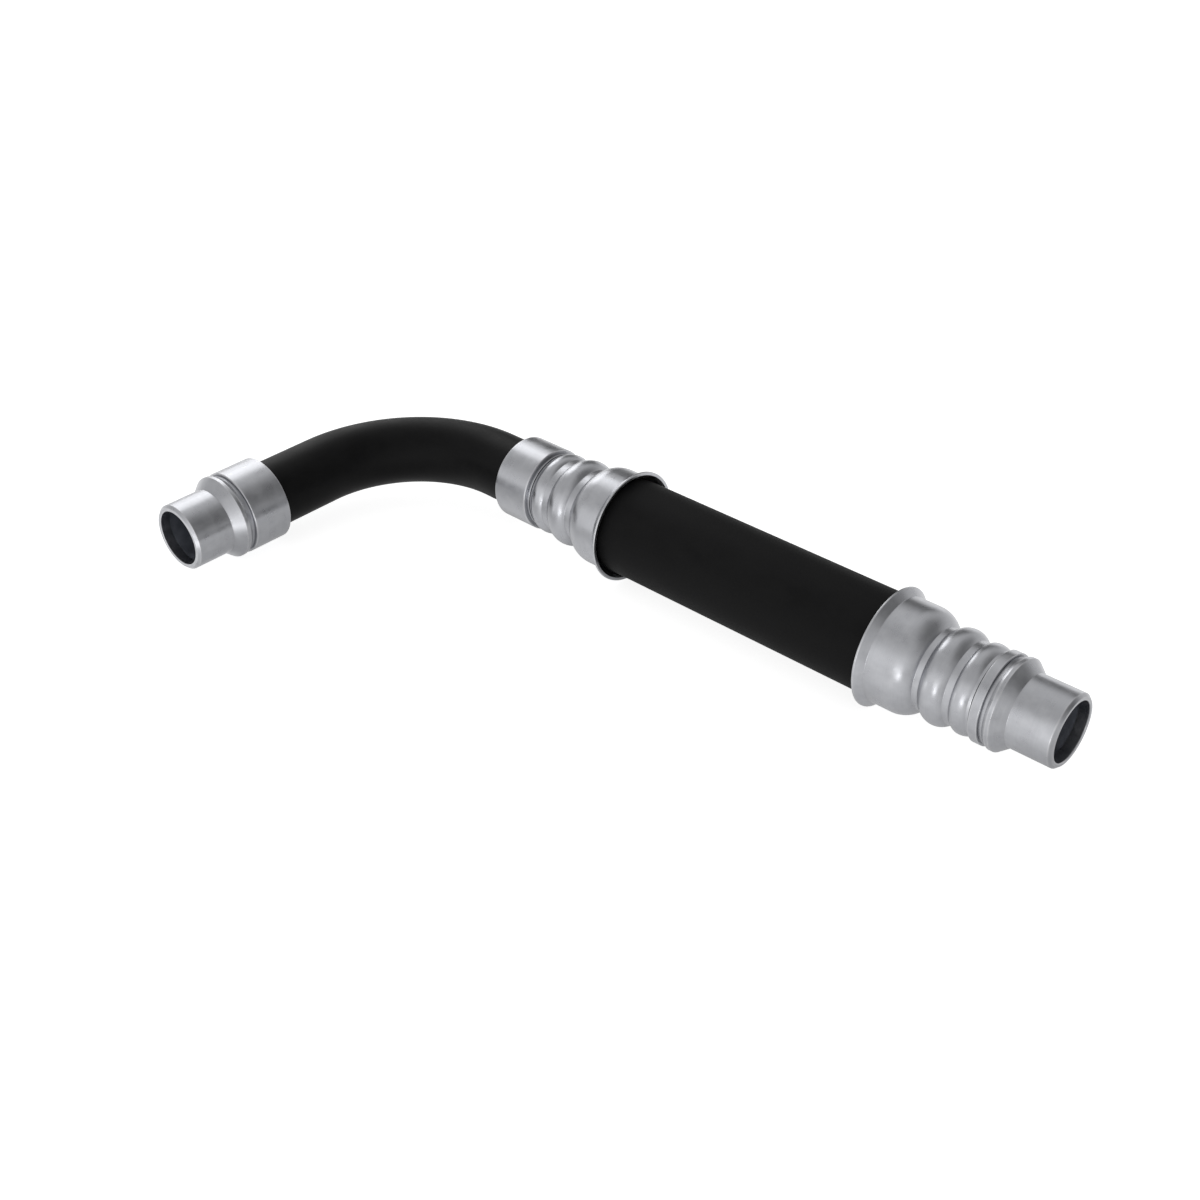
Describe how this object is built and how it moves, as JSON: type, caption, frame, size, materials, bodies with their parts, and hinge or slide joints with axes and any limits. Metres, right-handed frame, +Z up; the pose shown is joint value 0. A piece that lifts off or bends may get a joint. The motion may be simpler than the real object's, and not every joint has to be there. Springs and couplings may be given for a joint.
{
  "type": "hydraulic hose",
  "caption": "Short hydraulic hose: a thick straight hose joined by a crimped double ferrule to a thin right-angle hose, with plain stub ends.",
  "frame": {"origin": "centre of the footprint, on the surface that the ferrule lips and the arm's collar rest on", "axes": "+X along the straight run towards the plain right end, +Z up; the bent arm points to -Y and dips slightly to its collar"},
  "size_m": [0.2412, 0.106, 0.0326],
  "materials": {
    "fitting_steel": "satin plated steel, turned",
    "thick_hose_rubber": "matte black",
    "thin_hose_rubber": "satin black"
  },
  "bodies": {
    "root": {"left_end_insert": "fitting_steel", "left_crimp_sleeve": "fitting_steel", "bent_hose": "thin_hose_rubber", "middle_crimp_sleeve": "fitting_steel", "middle_coupler": "fitting_steel", "middle_ferrule": "fitting_steel", "straight_hose": "thick_hose_rubber", "right_ferrule": "fitting_steel", "right_lock_ring": "fitting_steel", "right_end_insert": "fitting_steel"}
  },
  "joints": []
}
